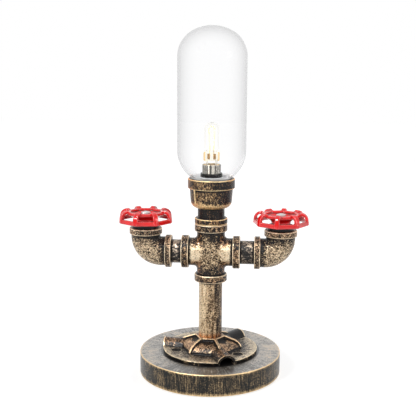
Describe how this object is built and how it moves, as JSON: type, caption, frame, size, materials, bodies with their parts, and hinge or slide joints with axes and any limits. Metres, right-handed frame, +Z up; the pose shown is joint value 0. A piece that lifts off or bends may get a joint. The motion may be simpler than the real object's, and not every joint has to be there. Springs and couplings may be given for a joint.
{
  "type": "table lamp",
  "caption": "Upright table lamp built from pipe fittings: round base, cast flange, cross with side elbows carrying red handwheels, clear glass capsule shade over a bulb.",
  "frame": {"origin": "centre of the face the lamp stands on, under its stem", "axes": "+Z up along the stem; +X towards the right arm as seen from the front; +Y towards the back, where the cable inlet is"},
  "size_m": [0.1729, 0.1316, 0.3161],
  "materials": {
    "rubber": "matt black rubber",
    "base_paint": "antique black paint brushed with pale grey and gold, worn at the rim",
    "antique_iron": "antique black dry-brushed with gold-bronze on the raised edges",
    "dark_screws": "blackened screw heads",
    "plug_black": "gloss black",
    "wheel_red": "gloss red enamel",
    "bright_steel": "bright plated steel",
    "terminal_plastic": "off-white plastic",
    "brass": "plain brass",
    "lead_sleeving": "off-white insulation",
    "ceramic_white": "unglazed white ceramic",
    "ring_black": "satin black",
    "shade_glass": "clear blown glass",
    "lamp_glass": "clear glass capsule with a warm glow",
    "filament": "glowing filament",
    "lamp_wire": "plain wire and foil"
  },
  "bodies": {
    "lamp_body": {"base_pad": "rubber", "base_disc": "base_paint", "cable_inlet_bush": "rubber", "terminal_block": "terminal_plastic", "terminal_screws": "brass", "floor_flange": "antique_iron", "flange_screws": "dark_screws", "stem_pipe": "antique_iron", "cross_fitting": "antique_iron", "top_nipple": "antique_iron", "reducing_coupling": "antique_iron", "holder_plate": "bright_steel", "holder_sleeve": "bright_steel", "holder_lock_nut": "bright_steel", "holder_ceramic": "ceramic_white", "holder_contacts": "brass", "holder_leads": "lead_sleeving", "arm_nipple_left": "antique_iron", "elbow_left": "antique_iron", "elbow_plug_left": "plug_black", "arm_nipple_right": "antique_iron", "elbow_right": "antique_iron", "elbow_plug_right": "plug_black"},
    "wheel_left": {"spindle_left": "bright_steel", "handwheel_left": "wheel_red", "wheel_washer_left": "bright_steel", "wheel_nut_left": "bright_steel"},
    "wheel_right": {"spindle_right": "bright_steel", "handwheel_right": "wheel_red", "wheel_washer_right": "bright_steel", "wheel_nut_right": "bright_steel"},
    "shade": {"glass_shade": "shade_glass", "shade_ring": "ring_black"},
    "bulb": {"lamp_envelope": "lamp_glass", "lamp_filament": "filament", "lamp_wires": "lamp_wire", "lamp_foils": "lamp_wire", "lamp_pins": "lamp_wire"}
  },
  "joints": [
    {"name": "handwheel_left_turn", "type": "hinge", "parent": "lamp_body", "child": "wheel_left", "pos_m": [-0.0596, 0, 0.1407], "axis": [0, 0, 1], "continuous": true},
    {"name": "handwheel_right_turn", "type": "hinge", "parent": "lamp_body", "child": "wheel_right", "pos_m": [0.0632, 0, 0.1407], "axis": [0, 0, 1], "continuous": true},
    {"name": "shade_lift", "type": "slide", "parent": "lamp_body", "child": "shade", "axis": [0, 0, 1], "range_m": [0, 0.062]},
    {"name": "bulb_pull", "type": "slide", "parent": "lamp_body", "child": "bulb", "axis": [0, 0, 1], "range_m": [0, 0.012]}
  ]
}
